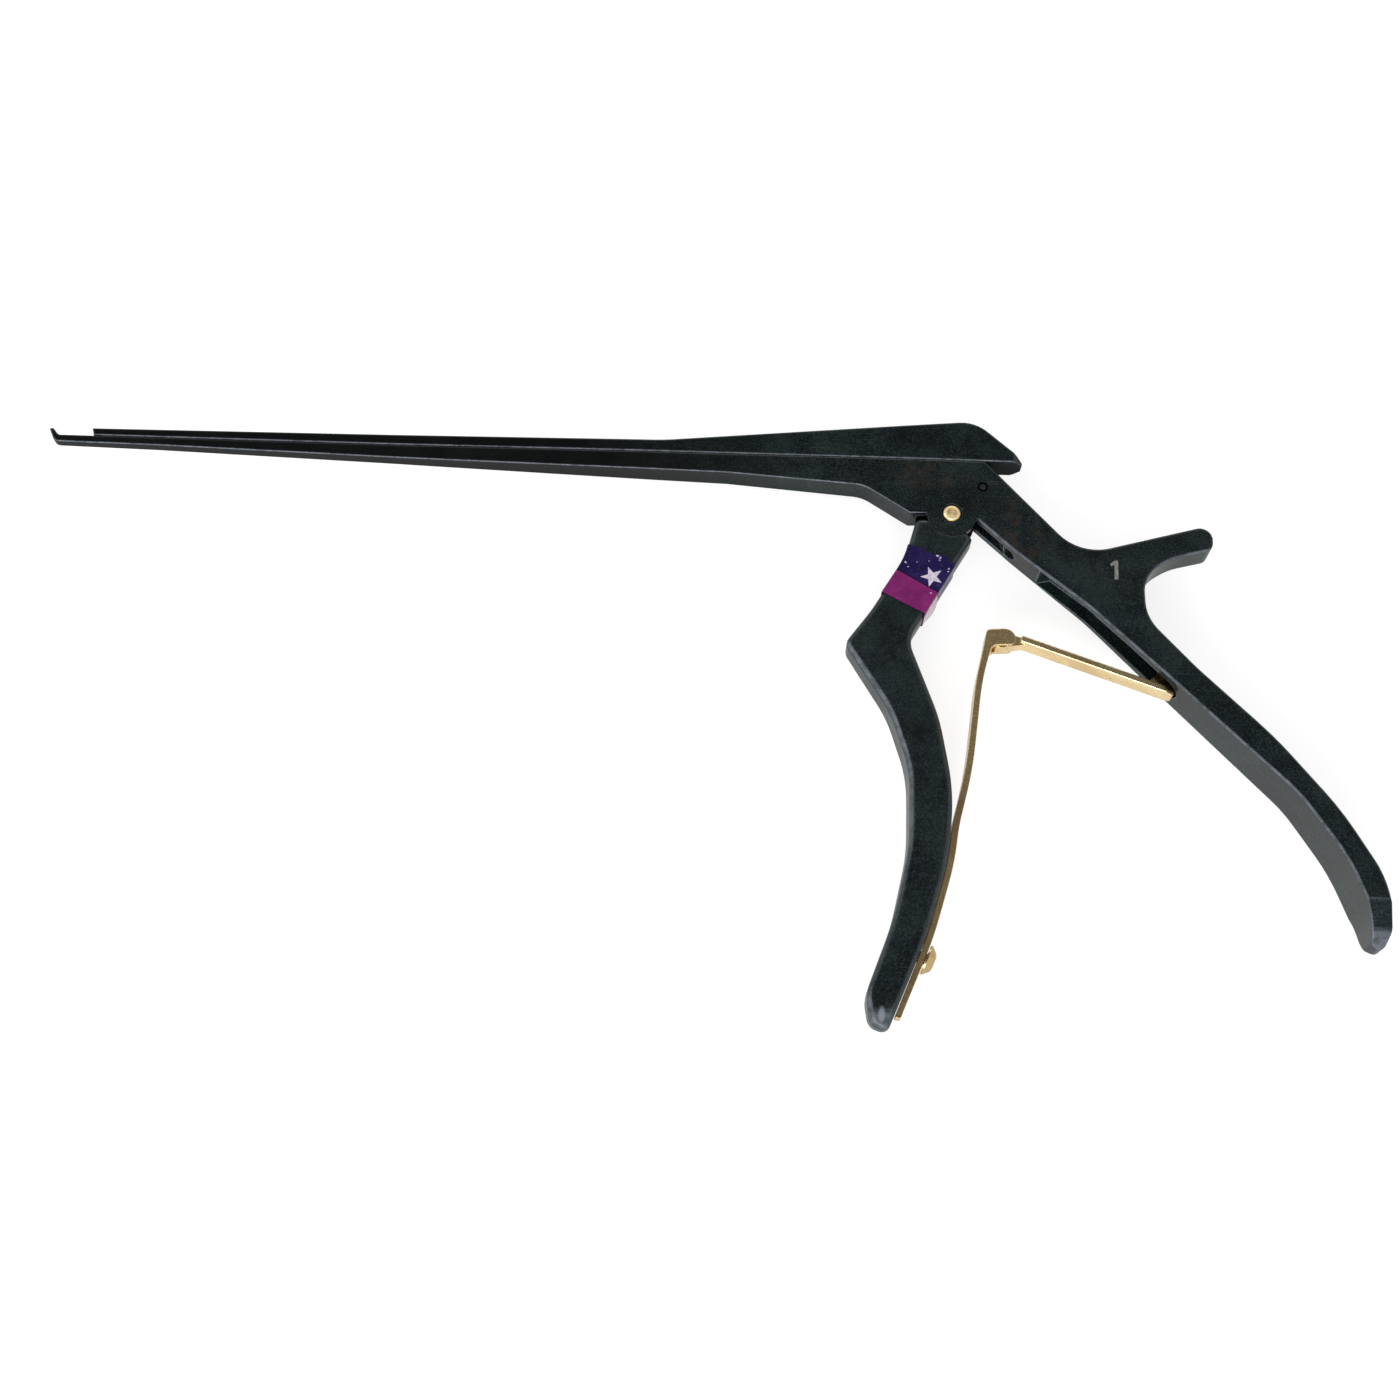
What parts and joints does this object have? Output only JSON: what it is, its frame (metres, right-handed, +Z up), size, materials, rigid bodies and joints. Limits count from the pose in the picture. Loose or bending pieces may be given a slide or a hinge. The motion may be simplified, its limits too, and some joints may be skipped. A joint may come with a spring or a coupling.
{
  "type": "bone rongeur",
  "caption": "Sliding-shaft bone punch with a slim footplate jaw, pistol handles and a leaf return spring linked to a hinged strut.",
  "frame": {"origin": "centre of the bounding box seen from above, on the surface that the instrument lies on", "axes": "the instrument lies on its side: +X runs along the shafts from the jaw towards the handles, +Y from the handle ends towards the shafts, +Z up through its thickness"},
  "size_m": [0.2802, 0.1331, 0.0135],
  "materials": {
    "black_steel": "satin black ceramic-like coating on steel",
    "slide_steel": "satin black ceramic-like coating on steel",
    "handle_steel": "satin black ceramic-like coating on steel",
    "gold_screw": "bright gold-coloured nitride coating on steel",
    "gold_spring": "satin gold-coloured nitride coating on spring steel",
    "pin_steel": "dark ground pin ends",
    "indigo_tape": "glossy marking tape",
    "magenta_tape": "glossy marking tape"
  },
  "bodies": {
    "frame": {"shaft_and_rear_handle": "black_steel", "pivot_screw": "gold_screw", "stop_pin": "pin_steel", "strut_hinge_pin": "pin_steel"},
    "slide": {"sliding_shaft": "slide_steel"},
    "front_handle": {"front_handle": "handle_steel", "leaf_spring_screw": "gold_screw", "indigo_tape": "indigo_tape", "magenta_tape": "magenta_tape"},
    "leaf": {"front_leaf_spring": "gold_spring", "spring_link_pin": "pin_steel"},
    "strut": {"rear_spring_strut": "gold_spring"}
  },
  "joints": [
    {"name": "handle_pivot", "type": "hinge", "parent": "frame", "child": "front_handle", "pos_m": [0.05573, 0.04398, 0.00675], "axis": [0, 0, 1], "range_deg": [0, 25.2], "stiffness_Nm_per_rad": 0.5},
    {"name": "slide_travel", "type": "slide", "parent": "frame", "child": "slide", "axis": [-1, 0, 0], "range_m": [0, 0.0076]},
    {"name": "leaf_flex", "type": "hinge", "parent": "front_handle", "child": "leaf", "pos_m": [0.05423, -0.03602, 0.00675], "axis": [0, 0, 1], "range_deg": [0, 12.6], "deforming": ["front_leaf_spring"]},
    {"name": "strut_hinge", "type": "hinge", "parent": "frame", "child": "strut", "pos_m": [0.09928, 0.00918, 0.00675], "axis": [0, 0, 1], "range_deg": [-8.4, 0]}
  ],
  "couplings": [
    {"joint": "slide_travel", "follows": "handle_pivot", "m_per_rad": 0.017053},
    {"joint": "leaf_flex", "follows": "handle_pivot", "ratio": 0.45},
    {"joint": "strut_hinge", "follows": "handle_pivot", "ratio": -0.3}
  ]
}
